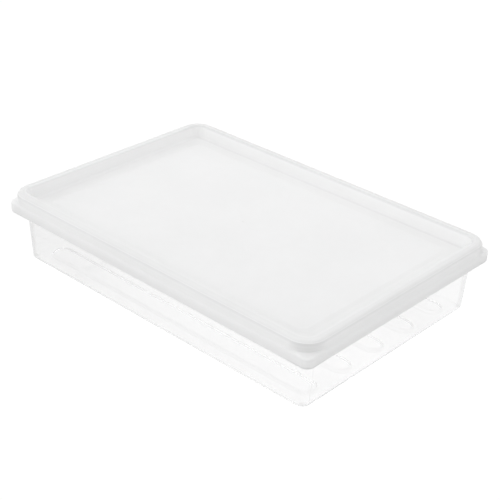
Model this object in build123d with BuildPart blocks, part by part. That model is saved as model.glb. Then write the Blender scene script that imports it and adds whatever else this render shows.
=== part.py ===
from build123d import *
import os
from math import tan, radians, cos

# Shallow keeper for sliced bacon: a clear rigid tray with five long raised
# ribs in its floor, closed by a milky flexible lid with a stacking recess.
# Millimetres, +Z up. Origin at the centre of the tray's underside, the long
# side along X. "Over" is a distance outside the underside outline.

os.makedirs("parts", exist_ok=True)

# ---------------------------------------------------------------- tray
tray_len = 268.0          # outside length at the underside
tray_wid = 175.2          # outside width at the underside
tray_corner = 6.3         # outside plan corner radius at the underside
tray_draft = 3.57         # draft of the walls, degrees
tray_wall = 1.3           # side wall
floor_t = 1.3             # floor
foot_edge = 2.6           # outside rounding between wall and underside
floor_edge = 1.3          # inside rounding between wall and floor

step_z = 38.8             # underside of the step that reaches out to the lip
step_t = 1.4
step_over = 7.0
step_corner = 8.7
lip_over = 6.4            # outside of the upright lip on the step
lip_t = 1.4
lip_corner = 12.9
lip_top = 53.05           # top of the lip, where the lid rests

rib_count = 5             # raised ribs in the floor, hollow underneath
rib_pitch = 34.0
rib_len = 252.0           # hollow length at the underside
rib_wid = 15.0            # hollow width at the underside
rib_h = 1.2               # rib height above the floor
rib_skin = 0.70           # raised side wider than the hollow, each side
rib_draft = 55.0          # slope of the rib sides, degrees
rib_crown = 3.0           # rounding along the top of a rib
rib_foot = 2.2            # rounding between rib and floor
rib_inside = 2.0          # rounding in the bottom of a hollow
rib_mouth = 1.0           # rounding around the mouth of a hollow

# ----------------------------------------------------------------- lid
lid_t = 1.4               # lid wall
skirt_z = 37.2            # bottom of the skirt
skirt_over = 9.7          # lower tier
skirt_corner = 5.9
skirt_edge = 2.5          # in-turned rounding along the bottom of the skirt
mouth_over = 7.4          # opening inside the in-turned edge
mouth_corner = 3.6
ledge_z = 46.10           # middle of the soft ledge between the tiers
ledge_half = 1.5          # half its height
ledge_late = 0.3          # the corners round off in the upper part of the ledge
ledge_drop = 0.9          # its inside lies this much lower
rim_over = 8.95           # upper tier
rim_corner = 15.3
lid_top = 54.45           # top of the rim
rim_band = 7.2            # rim width, outside to recess wall
recess_depth = 9.4        # rim top down to the border of the recess
recess_draft = 13.0       # slope of the recess wall, degrees
panel_rise = 0.5          # centre panel above its border
panel_len = 246.0         # centre panel where it meets the border
panel_wid = 154.1
panel_corner = 7.0
panel_slope = 3.4         # width of the slope around the centre panel
rim_outer_edge = 3.2
rim_inner_edge = 1.2
rim_inside_edge = 1.1     # inside the rim, where the lip of the tray fits
recess_root = 3.0
gate_x, gate_y = -4.5, 4.0  # moulding gate mark on the panel
gate_r = 1.1
gate_h = 0.25


def plan(over, corner):
    """Length, width and corner radius of an outline 'over' the underside."""
    return (tray_len + 2 * over, tray_wid + 2 * over, corner)


def reach(e):
    """How far an edge reaches outside the underside outline."""
    bb = e.bounding_box()
    rx = max(abs(bb.min.X), abs(bb.max.X)) - tray_len / 2
    ry = max(abs(bb.min.Y), abs(bb.max.Y)) - tray_wid / 2
    return max(rx, ry)


def ring(edges, z, over=None, tol=0.25):
    """Edges that lie at the height z, and at an outline if one is given."""
    out = []
    for e in edges:
        bb = e.bounding_box()
        if abs(bb.min.Z - z) < 0.03 and abs(bb.max.Z - z) < 0.03:
            if over is None or abs(reach(e) - over) < tol:
                out.append(e)
    return out


def blend(u):
    """Soft step from 0 to 1."""
    return 2 * u * u if u < 0.5 else 1 - 2 * (1 - u) ** 2


def ledge(thin, drop):
    """Heights and outlines of the soft S between the lower and upper tier."""
    out = []
    for i in range(11):
        u = i / 10
        s = blend(u)
        c = blend(max(0.0, (u - ledge_late) / (1 - ledge_late)))
        out.append((ledge_z + ledge_half * (2 * u - 1) - drop,
                    skirt_over + (rim_over - skirt_over) * s - thin,
                    skirt_corner + (rim_corner - skirt_corner) * c - thin))
    return out


# ============================================================ base tray
slope = tan(radians(tray_draft))
rib_y = [(i - (rib_count - 1) / 2) * rib_pitch for i in range(rib_count)]

with BuildPart() as base_tray:
    # drafted body up to the top of the step
    with BuildSketch(Plane.XY):
        RectangleRounded(*plan(0, tray_corner))
    extrude(amount=step_z + step_t, taper=-tray_draft)
    fillet(ring(base_tray.edges(), 0), foot_edge)
    # step that reaches out under the lid
    with BuildSketch(Plane.XY.offset(step_z)):
        RectangleRounded(*plan(step_over, step_corner))
    extrude(amount=step_t)
    fillet(ring(base_tray.edges(), step_z, step_z * slope, 0.6), 1.0)
    fillet(ring(base_tray.edges(), step_z, step_over), 0.4)
    # upright lip on the step
    with BuildSketch(Plane.XY.offset(step_z + step_t)):
        RectangleRounded(*plan(lip_over, lip_corner))
        RectangleRounded(*plan(lip_over - lip_t, lip_corner - lip_t), mode=Mode.SUBTRACT)
    extrude(amount=lip_top - step_z - step_t)
    fillet(ring(base_tray.edges(), lip_top), 0.35)
    # hollow of the tray
    with BuildSketch(Plane.XY.offset(floor_t)):
        RectangleRounded(*plan(-tray_wall + floor_t * slope, tray_corner - tray_wall))
    extrude(amount=step_z + step_t - floor_t, taper=-tray_draft, mode=Mode.SUBTRACT)
    fillet(ring(base_tray.edges(), floor_t), floor_edge)
    inner_top = -tray_wall + (step_z + step_t) * slope
    fillet(ring(base_tray.edges(), step_z + step_t, inner_top, 0.4), 0.5)
    # raised ribs
    with BuildSketch(Plane.XY.offset(floor_t)):
        with Locations(*[(0, y) for y in rib_y]):
            SlotOverall(rib_len + 2 * rib_skin, rib_wid + 2 * rib_skin)
    extrude(amount=rib_h, taper=rib_draft)
    fillet(ring(base_tray.edges(), floor_t + rib_h), rib_crown)
    fillet([e for e in ring(base_tray.edges(), floor_t)
            if reach(e) < -6], rib_foot)
    # hollows under the ribs
    with BuildSketch(Plane.XY):
        with Locations(*[(0, y) for y in rib_y]):
            SlotOverall(rib_len, rib_wid)
    extrude(amount=rib_h, taper=rib_draft, mode=Mode.SUBTRACT)
    fillet([e for e in ring(base_tray.edges(), rib_h)], rib_inside)
    fillet([e for e in ring(base_tray.edges(), 0)
            if reach(e) < -6], rib_mouth)

base_tray.part.label = "base_tray"
export_step(base_tray.part, "parts/base_tray.step")

# ================================================================== lid
recess_over = rim_over - rim_band
border_z = lid_top - recess_depth
pan_z = border_z - lid_t
pan_skin = lid_t / cos(radians(recess_draft))
pan_slope = tan(radians(recess_draft))
shelf_z = skirt_z + lid_t          # inside of the in-turned bottom edge

with BuildPart() as lid:
    # outside: lower tier, soft ledge, upper tier
    with BuildSketch(Plane.XY.offset(skirt_z)):
        RectangleRounded(*plan(skirt_over, skirt_corner))
    extrude(amount=ledge_z - ledge_half - skirt_z)
    fillet(ring(lid.edges(), skirt_z), skirt_edge)
    for z, over, corner in ledge(0, 0):
        with BuildSketch(Plane.XY.offset(z)):
            RectangleRounded(*plan(over, corner))
    loft()
    with BuildSketch(Plane.XY.offset(ledge_z + ledge_half)):
        RectangleRounded(*plan(rim_over, rim_corner))
    extrude(amount=lid_top - ledge_z - ledge_half)
    fillet(ring(lid.edges(), lid_top), rim_outer_edge)
    # inside of the same, open at the bottom
    low_top = ledge_z - ledge_half - ledge_drop
    with BuildSketch(Plane.XY.offset(shelf_z)):
        RectangleRounded(*plan(skirt_over - lid_t, skirt_corner - lid_t))
    extrude(amount=low_top - shelf_z, mode=Mode.SUBTRACT)
    fillet(ring(lid.edges(), shelf_z), skirt_edge - lid_t)
    for z, over, corner in ledge(lid_t, ledge_drop):
        with BuildSketch(Plane.XY.offset(z)):
            RectangleRounded(*plan(over, corner))
    loft(mode=Mode.SUBTRACT)
    up_bottom = ledge_z + ledge_half - ledge_drop
    with BuildSketch(Plane.XY.offset(up_bottom)):
        RectangleRounded(*plan(rim_over - lid_t, rim_corner - lid_t))
    extrude(amount=lid_top - lid_t - up_bottom, mode=Mode.SUBTRACT)
    fillet(ring(lid.edges(), lid_top - lid_t), rim_inside_edge)
    with BuildSketch(Plane.XY.offset(skirt_z)):
        RectangleRounded(*plan(mouth_over, mouth_corner))
    extrude(amount=lid_t, mode=Mode.SUBTRACT)
    # pan that hangs from the rim
    with BuildSketch(Plane.XY.offset(lid_top - lid_t)):
        RectangleRounded(*plan(recess_over + pan_skin - lid_t * pan_slope,
                               rim_corner - rim_band + pan_skin))
    extrude(amount=-recess_depth, taper=recess_draft)
    fillet(ring(lid.edges(), pan_z), recess_root + 1.0)
    with BuildSketch(Plane.XY.offset(lid_top)):
        RectangleRounded(*plan(recess_over, rim_corner - rim_band))
    extrude(amount=-recess_depth, taper=recess_draft, mode=Mode.SUBTRACT)
    fillet(ring(lid.edges(), border_z), recess_root)
    fillet(ring(lid.edges(), lid_top, recess_over), rim_inner_edge)
    # centre panel, raised a little above its border
    with BuildSketch(Plane.XY.offset(border_z)):
        RectangleRounded(panel_len, panel_wid, panel_corner)
    with BuildSketch(Plane.XY.offset(border_z + panel_rise)):
        RectangleRounded(panel_len - 2 * panel_slope, panel_wid - 2 * panel_slope,
                         panel_corner - panel_slope)
    loft(ruled=True)
    with BuildSketch(Plane.XY.offset(pan_z)):
        RectangleRounded(panel_len, panel_wid, panel_corner)
    with BuildSketch(Plane.XY.offset(pan_z + panel_rise)):
        RectangleRounded(panel_len - 2 * panel_slope, panel_wid - 2 * panel_slope,
                         panel_corner - panel_slope)
    loft(ruled=True, mode=Mode.SUBTRACT)
    # moulding gate mark
    with BuildSketch(Plane.XY.offset(border_z + panel_rise)):
        with Locations((gate_x, gate_y)):
            Circle(gate_r)
    extrude(amount=gate_h)

lid.part.label = "lid"
export_step(lid.part, "parts/lid.step")
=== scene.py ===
import math
import bpy
from mathutils import Matrix, Vector

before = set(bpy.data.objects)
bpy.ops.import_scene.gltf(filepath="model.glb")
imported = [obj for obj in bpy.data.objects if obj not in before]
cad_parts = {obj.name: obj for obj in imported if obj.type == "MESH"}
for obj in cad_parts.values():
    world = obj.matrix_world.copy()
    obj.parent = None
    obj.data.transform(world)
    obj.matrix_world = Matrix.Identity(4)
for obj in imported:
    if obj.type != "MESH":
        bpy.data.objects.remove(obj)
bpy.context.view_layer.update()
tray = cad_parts["base_tray"]
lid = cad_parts["lid"]

scene = bpy.context.scene
scene.view_settings.view_transform = "Standard"
scene.view_settings.look = "None"
scene.view_settings.exposure = 0.0
scene.view_settings.gamma = 1.0
# light is guided a long way inside the clear walls before it gets out
scene.cycles.max_bounces = 200
scene.cycles.diffuse_bounces = 6
scene.cycles.glossy_bounces = 200
scene.cycles.transmission_bounces = 200
scene.cycles.transparent_max_bounces = 24
scene.cycles.volume_bounces = 0

# sizes that the materials need, in metres
HALF_X, HALF_Y, CORNER = 0.134, 0.0876, 0.00635   # outline of the underside
RIM_TOP, RECESS_Z = 0.05445, 0.04505


# ------------------------------------------------------------- node helpers
class Graph:
    """Short-hand for building a node tree."""

    def __init__(self, owner, out="ShaderNodeOutputMaterial"):
        if isinstance(owner, str):
            owner = bpy.data.materials.new(owner)
        self.mat = owner
        owner.use_nodes = True
        self.tree = owner.node_tree
        self.tree.nodes.clear()
        self.out = self.node(out)

    def node(self, kind, **props):
        n = self.tree.nodes.new(kind)
        for k, v in props.items():
            setattr(n, k, v)
        return n

    def link(self, a, b):
        self.tree.links.new(a, b)

    def math(self, op, a, b=None, c=None, clamp=False):
        n = self.node("ShaderNodeMath", operation=op, use_clamp=clamp)
        for i, v in enumerate((a, b, c)):
            if v is None:
                continue
            if isinstance(v, (int, float)):
                n.inputs[i].default_value = v
            else:
                self.link(v, n.inputs[i])
        return n.outputs[0]

    def add(self, a, b):
        return self.math("ADD", a, b)

    def mul(self, a, b):
        return self.math("MULTIPLY", a, b)

    def less(self, a, b):
        return self.math("SUBTRACT", a, b)

    def ramp(self, value, lo, hi, a=0.0, b=1.0, smooth=True):
        n = self.node("ShaderNodeMapRange")
        n.interpolation_type = "SMOOTHSTEP" if smooth else "LINEAR"
        n.clamp = True
        self.link(value, n.inputs["Value"])
        for k, v in (("From Min", lo), ("From Max", hi), ("To Min", a), ("To Max", b)):
            n.inputs[k].default_value = v
        return n.outputs["Result"]

    def hump(self, value, centre, width):
        """1 at the centre, falling to 0 over the width on both sides."""
        off = self.math("ABSOLUTE", self.less(value, centre))
        return self.ramp(off, 0.0, width, 1.0, 0.0)

    def noise(self, vec, scale, detail=2.0, rough=0.5, stretch=None):
        if stretch:
            m = self.node("ShaderNodeMapping")
            m.inputs["Scale"].default_value = stretch
            self.link(vec, m.inputs["Vector"])
            vec = m.outputs["Vector"]
        n = self.node("ShaderNodeTexNoise")
        n.inputs["Scale"].default_value = scale
        n.inputs["Detail"].default_value = detail
        n.inputs["Roughness"].default_value = rough
        self.link(vec, n.inputs["Vector"])
        return n.outputs["Fac"]

    def mix(self, fac, a, b):
        n = self.node("ShaderNodeMix", data_type="RGBA")
        if isinstance(fac, (int, float)):
            n.inputs["Factor"].default_value = fac
        else:
            self.link(fac, n.inputs["Factor"])
        for sock, v in ((n.inputs[6], a), (n.inputs[7], b)):
            if isinstance(v, tuple):
                sock.default_value = v
            else:
                self.link(v, sock)
        return n.outputs[2]

    def scale(self, col, fac):
        """A colour times a number."""
        n = self.node("ShaderNodeVectorMath", operation="SCALE")
        self.link(col, n.inputs[0])
        if isinstance(fac, (int, float)):
            n.inputs["Scale"].default_value = fac
        else:
            self.link(fac, n.inputs["Scale"])
        return n.outputs[0]

    def bump(self, height, strength, distance, normal=None):
        n = self.node("ShaderNodeBump")
        n.inputs["Strength"].default_value = strength
        n.inputs["Distance"].default_value = distance
        self.link(height, n.inputs["Height"])
        if normal is not None:
            self.link(normal, n.inputs["Normal"])
        return n.outputs["Normal"]

    def xyz(self, vec):
        n = self.node("ShaderNodeSeparateXYZ")
        self.link(vec, n.inputs[0])
        return n.outputs

    def over(self, x, y, hx, hy, corner):
        """Distance outside a rounded rectangle, negative inside it."""
        ax = self.less(self.math("ABSOLUTE", x), hx - corner)
        ay = self.less(self.math("ABSOLUTE", y), hy - corner)
        px, py = self.math("MAXIMUM", ax, 0.0), self.math("MAXIMUM", ay, 0.0)
        far = self.math("SQRT", self.math("MULTIPLY_ADD", px, px, self.mul(py, py)))
        near = self.math("MINIMUM", self.math("MAXIMUM", ax, ay), 0.0)
        return self.less(self.add(far, near), corner)


def set_in(node, **values):
    for k, v in values.items():
        node.inputs[k.replace("_", " ")].default_value = v


# ------------------------------------------------------- clear tray plastic
def clear_plastic():
    g = Graph("clear_tray_plastic")
    pos = g.node("ShaderNodeTexCoord").outputs["Object"]
    x, y, z = g.xyz(pos)
    b = g.node("ShaderNodeBsdfPrincipled")
    set_in(b, IOR=1.52)
    b.inputs["Transmission Weight"].default_value = 1.0
    b.inputs["Specular IOR Level"].default_value = 0.5
    # faint grey body with slow cloudiness from the mould flow
    flow = g.noise(pos, 14.0, 2.0, 0.5, (0.35, 1.0, 1.0))
    col = g.mix(g.ramp(flow, 0.35, 0.65), (0.983, 0.983, 0.983, 1), (0.996, 0.996, 0.996, 1))
    # painted shade: greyer round the upright corners, at their foot on all four,
    # and higher up on all but the near corner
    painted_corner_shade = g.mul(g.ramp(g.math("ABSOLUTE", x), HALF_X - 0.0070, HALF_X - 0.0040),
                g.ramp(g.math("ABSOLUTE", y), HALF_Y - 0.0070, HALF_Y - 0.0040))
    low = g.mul(painted_corner_shade, g.ramp(z, 0.0006, 0.0020, 0.20, 0.0))
    painted_corner_shade = g.mul(painted_corner_shade, g.ramp(g.less(x, y), 0.10, 0.16, 0.12, 0.0))
    # painted shade along the rounded foot of the walls
    painted_hem_shade = g.mul(g.ramp(z, 0.0006, 0.0020, 0.07, 0.0), g.ramp(g.over(x, y, HALF_X, HALF_Y, CORNER), -0.0024, -0.0008))
    # painted shade along the near shoulder of each rib, in place of the refracted line there
    row = g.math("WRAP", y, 0.017, -0.017)
    slot = g.over(x, row, 0.1267, 0.0082, 0.0082)
    painted_rib_line = g.mul(g.hump(slot, -0.0013, 0.0006), g.ramp(z, 0.0030, 0.0034, 0.12, 0.0))
    painted_rib_line = g.mul(painted_rib_line, g.ramp(row, 0.0, 0.004, 1.0, 0.0))
    # the painted shade, taken off the tray's base colour
    painted_tray_shade = g.math("MAXIMUM", g.math("MAXIMUM", painted_corner_shade, low), g.math("MAXIMUM", painted_hem_shade, painted_rib_line))
    g.link(g.scale(col, g.less(1.0, painted_tray_shade)), b.inputs["Base Color"])
    # hairline handling marks, finer and duller where they gather
    scuff = g.noise(pos, 900.0, 2.0, 0.6, (0.08, 1.0, 1.0))
    patch = g.noise(pos, 30.0, 2.0, 0.5)
    marks = g.mul(g.ramp(scuff, 0.60, 0.72), g.ramp(patch, 0.45, 0.7))
    g.link(g.math("MULTIPLY_ADD", marks, 0.04, 0.068), b.inputs["Roughness"])
    # slow waviness of the moulded faces
    wave = g.noise(pos, 55.0, 1.0, 0.4)
    g.link(g.bump(wave, 0.10, 0.0006), b.inputs["Normal"])
    g.link(b.outputs[0], g.out.inputs["Surface"])
    # the plastic is a little grey through its depth
    ab = g.node("ShaderNodeVolumeAbsorption")
    ab.inputs["Color"].default_value = (0.55, 0.55, 0.55, 1)
    ab.inputs["Density"].default_value = 1.2
    g.link(ab.outputs[0], g.out.inputs["Volume"])
    return g.mat


# ------------------------------------------------------- milky lid plastic
LID = 0.895                 # how much light the plastic sends back
PAINTED_GLOW, PAINTED_GLOW_UNDER = 0.45, 0.58  # painted glow for the hidden faces, in place of the light that comes through the walls


def milky_plastic():
    g = Graph("milky_lid_plastic")
    pos = g.node("ShaderNodeTexCoord").outputs["Object"]
    x, y, z = g.xyz(pos)
    over = g.over(x, y, HALF_X, HALF_Y, CORNER)
    b = g.node("ShaderNodeBsdfPrincipled")
    set_in(b, IOR=1.51)
    b.inputs["Specular IOR Level"].default_value = 0.5
    b.inputs["Subsurface Weight"].default_value = 1.0
    b.inputs["Subsurface Radius"].default_value = (1.0, 1.0, 1.0)
    b.inputs["Subsurface Scale"].default_value = 0.0015
    # slow cloudiness in the plastic
    cloud = g.noise(pos, 18.0, 3.0, 0.5)
    fine = g.noise(pos, 160.0, 2.0, 0.5)
    mottle = g.math("MULTIPLY_ADD", fine, 0.25, g.mul(cloud, 0.75))
    col = g.mix(g.ramp(mottle, 0.3, 0.7), (LID - 0.010, LID - 0.009, LID - 0.009, 1), (LID + 0.010, LID + 0.011, LID + 0.011, 1))
    # painted shade and painted light: the base colour is darkened or lightened
    # place by place where light and shade fall on the lid
    # painted shade over the panel and, more, along its border by the recess wall; painted light on the recess walls
    inside = g.ramp(over, -0.0030, -0.0005, 1.0, 0.0)
    border = g.mul(g.ramp(over, -0.0175, -0.0040), inside)
    wall = g.mul(g.mul(g.ramp(over, -0.0014, -0.0004), g.ramp(over, 0.0016, 0.0028, 1.0, 0.0)),
                 g.mul(g.ramp(z, RECESS_Z + 0.0010, RECESS_Z + 0.0030), g.ramp(z, RIM_TOP - 0.0014, RIM_TOP - 0.0004, 1.0, 0.0)))
    # painted shade on the rim's outer rounding and the outer skirt, a little more on the right side, and on the
    # lower tier; a faint painted highlight at the ledge's height
    outer = g.ramp(over, 0.0028, 0.0045)
    crest = g.mul(outer, g.ramp(z, RIM_TOP - 0.0040, RIM_TOP - 0.0020))
    turn = g.mul(outer, g.hump(z, RIM_TOP - 0.0017, 0.0022))
    flank = g.mul(outer, g.ramp(z, 0.0500, 0.0520, 1.0, 0.0))
    ledge = g.hump(z, 0.0461, 0.0018)
    lower = g.mul(g.ramp(z, 0.0395, 0.0450, 1.0, 0.0), g.ramp(z, 0.0376, 0.0394, 0.3, 1.0))
    # painted shade along the top of the rim, stronger at the back, and at the root of the back wall; painted light
    # along the left wall
    brow = g.mul(g.hump(over, 0.0023, 0.0017), g.ramp(z, RIM_TOP - 0.0018, RIM_TOP - 0.0010))
    rear = g.ramp(y, 0.065, 0.080)
    foot = g.mul(g.hump(over, -0.0018, 0.0016), rear)
    heel = g.mul(g.hump(over, -0.0004, 0.0024), g.ramp(x, -0.125, -0.115, 1.0, 0.0))
    # painted light toward the back of the panel, painted shade toward the front
    painted_panel_gradient = g.mul(g.ramp(g.add(g.mul(x, -0.674), g.mul(y, 0.739)), -0.13, 0.13, -1.0, 1.0, smooth=False), inside)
    # painted shade round the lid's corners on the upper tier, strongest at the near corner, and along the hem at the
    # corners
    rounded = g.ramp(g.over(x, y, HALF_X, HALF_Y, 0.022), 0.0115, 0.0160)
    painted_hem_shade = g.mul(rounded, g.ramp(z, 0.0382, 0.0402, 1.0, 0.0))
    corner = g.mul(rounded, g.mul(g.less(1.0, g.hump(z, 0.0458, 0.0032)), g.ramp(z, 0.0520, 0.0536, 1.0, 0.0)))
    corner = g.mul(corner, g.mul(g.ramp(g.less(x, y), 0.06, 0.15, 0.7, 1.0), g.ramp(z, 0.0425, 0.0455)))
    # painted light and shade summed: positive amounts darken the base colour, negative ones lighten it
    painted_light_and_shade = 0.0
    for mask, amount in ((inside, 0.032), (border, 0.020), (wall, -0.038), (crest, 0.080), (turn, 0.052), (flank, 0.046),
                         (g.mul(flank, g.ramp(x, 0.136, 0.139)), 0.012), (brow, 0.080), (g.mul(brow, rear), 0.060),
                         (foot, 0.040), (heel, -0.045), (painted_panel_gradient, -0.020), (ledge, -0.006), (lower, 0.050),
                         (corner, 0.10), (painted_hem_shade, 0.16)):
        painted_light_and_shade = g.math("MULTIPLY_ADD", mask, amount, painted_light_and_shade)
    g.link(g.scale(col, g.less(1.0, painted_light_and_shade)), b.inputs["Base Color"])
    # painted light: the hidden inner faces are given a faint glow,
    # in place of the light that comes through the thin milky walls
    low = g.over(x, y, HALF_X, HALF_Y, -0.0038)
    up = g.ramp(z, 0.0444, 0.0472)
    skin = g.add(g.mul(g.less(over, 0.00825), up), g.mul(g.less(low, 0.0090), g.less(1.0, up)))
    behind = g.math("MULTIPLY_ADD", g.less(RIM_TOP, z), 0.2309, g.less(over, 0.00175))
    painted_glow_faces = g.mul(g.mul(g.ramp(skin, -0.0002, 0.0002, 1.0, 0.0), g.ramp(behind, 0.0006, 0.0009)),
                   g.ramp(z, 0.0531, 0.0534, 1.0, 0.0))
    painted_glow_under = g.mul(g.ramp(z, 0.0444, 0.0446, 1.0, 0.0), g.ramp(over, 0.0010, 0.0014, 1.0, 0.0))
    b.inputs["Emission Color"].default_value = (1, 1, 1, 1)
    g.link(g.math("MAXIMUM", g.mul(painted_glow_faces, PAINTED_GLOW), g.mul(painted_glow_under, PAINTED_GLOW_UNDER)), b.inputs["Emission Strength"])
    # satin surface with a fine grain
    rough = g.noise(pos, 300.0, 2.0, 0.6)
    g.link(g.math("MULTIPLY_ADD", rough, 0.10, 0.36), b.inputs["Roughness"])
    grain = g.noise(pos, 1400.0, 2.0, 0.5)
    peel = g.noise(pos, 220.0, 1.0, 0.4)
    n1 = g.bump(grain, 0.12, 0.0002)
    n2 = g.bump(peel, 0.08, 0.0004, n1)
    g.link(n2, b.inputs["Normal"])
    g.link(b.outputs[0], g.out.inputs["Surface"])
    return g.mat


def dress(obj, mat):
    if not obj.material_slots:
        obj.data.materials.append(mat)
    for s in obj.material_slots:
        s.material = mat


dress(tray, clear_plastic())
dress(lid, milky_plastic())


# ------------------------------------------------------------------- stage
def sheet(name, height, size):
    me = bpy.data.meshes.new(name)
    s = size
    me.from_pydata([(-s, -s, 0), (s, -s, 0), (s, s, 0), (-s, s, 0)], [], [(0, 1, 2, 3)])
    o = bpy.data.objects.new(name, me)
    o.location.z = height
    scene.collection.objects.link(o)
    return o


# the pale table as it is seen
floor = sheet("floor", -0.0002, 6.0)
g = Graph("floor_white")
em = g.node("ShaderNodeEmission")
em.inputs["Color"].default_value = (1, 1, 1, 1)
em.inputs["Strength"].default_value = 1.03
g.link(em.outputs[0], g.out.inputs["Surface"])
floor.data.materials.append(g.mat)
floor.visible_diffuse = False
floor.visible_glossy = False
floor.visible_transmission = False
floor.visible_shadow = False

# the light it sends up into the clear tray: brighter to the right, and
# falling off away from the object
glow = sheet("floor_glow", -0.0004, 6.0)
g = Graph("floor_glow")
px, py, pz = g.xyz(g.node("ShaderNodeTexCoord").outputs["Object"])
side = g.add(g.mul(px, 0.743), g.mul(py, 0.669))
away = g.ramp(g.over(px, py, HALF_X, HALF_Y, 0.01), 0.03, 0.30, 1.0, 0.80)
lvl = g.mul(g.add(g.ramp(side, -0.17, 0.0, 0.898, 0.952, smooth=False), g.ramp(side, 0.0, 0.17, 0.0, 0.03, smooth=False)), away)
em = g.node("ShaderNodeEmission")
em.inputs["Color"].default_value = (1, 1, 1, 1)
g.link(lvl, em.inputs["Strength"])
g.link(em.outputs[0], g.out.inputs["Surface"])
glow.data.materials.append(g.mat)
glow.visible_camera = False
glow.visible_diffuse = False
glow.visible_glossy = False
glow.visible_transmission = True
glow.visible_shadow = False

# Soft studio light all round: a pale table, bright behind the object and to
# the front left, dimmer on the near right side.
LOW, LOW_FAR = 0.86, 0.11
UP, UP_FRONT, UP_RIGHT, UP_TOP = 0.93, 0.11, -0.12, 0.05
world = bpy.data.worlds.new("studio")
scene.world = world
w = Graph(world, "ShaderNodeOutputWorld")
dx, dy, dz = w.xyz(w.node("ShaderNodeTexCoord").outputs["Generated"])
far = w.add(w.mul(dx, -0.674), w.mul(dy, 0.739))
low = w.math("MULTIPLY_ADD", far, LOW_FAR, LOW)
upper = w.add(w.math("MULTIPLY_ADD", dy, -UP_FRONT, UP), w.add(w.mul(dx, UP_RIGHT), w.mul(dz, UP_TOP)))
blend = w.ramp(dz, -0.12, 0.12)
level = w.add(w.mul(low, w.less(1.0, blend)), w.mul(upper, blend))
bg = w.node("ShaderNodeBackground")
bg.inputs["Color"].default_value = (1, 1, 1, 1)
w.link(level, bg.inputs["Strength"])
w.link(bg.outputs[0], w.out.inputs["Surface"])


def softbox(name, loc, target, size, power, size_y=None):
    d = bpy.data.lights.new(name, "AREA")
    d.energy = power
    d.shape = "RECTANGLE"
    d.size = size
    d.size_y = size_y or size
    o = bpy.data.objects.new(name, d)
    o.location = loc
    o.rotation_euler = (Vector(target) - Vector(loc)).to_track_quat("-Z", "Y").to_euler()
    scene.collection.objects.link(o)
    return o


softbox("top_box", (-0.35, 0.25, 1.5), (0, 0, 0), 1.2, 0.15)

# ------------------------------------------------------------------ camera
UNIT = 0.268
f_px, az, el, roll, dist, tx, ty = 1200.367, 41.98249, 29.02669, 2.11857, 3.25612, 0.02213, 0.08276
a, e, r = math.radians(az), math.radians(el), math.radians(roll)
back = Vector((math.sin(a) * math.cos(e), -math.cos(a) * math.cos(e), math.sin(e)))
right = Vector((math.cos(a), math.sin(a), 0.0))
up = back.cross(right)
right, up = math.cos(r) * right + math.sin(r) * up, -math.sin(r) * right + math.cos(r) * up
cam_data = bpy.data.cameras.new("camera")
cam_data.sensor_width = 36.0
cam_data.lens = f_px * 36.0 / 500.0
cam_data.clip_start, cam_data.clip_end = 0.01, 50.0
cam = bpy.data.objects.new("camera", cam_data)
loc = (right * tx + up * ty + back * dist) * UNIT
m = Matrix((right, up, back)).transposed().to_4x4()
m.translation = loc
cam.matrix_world = m
scene.collection.objects.link(cam)
scene.camera = cam
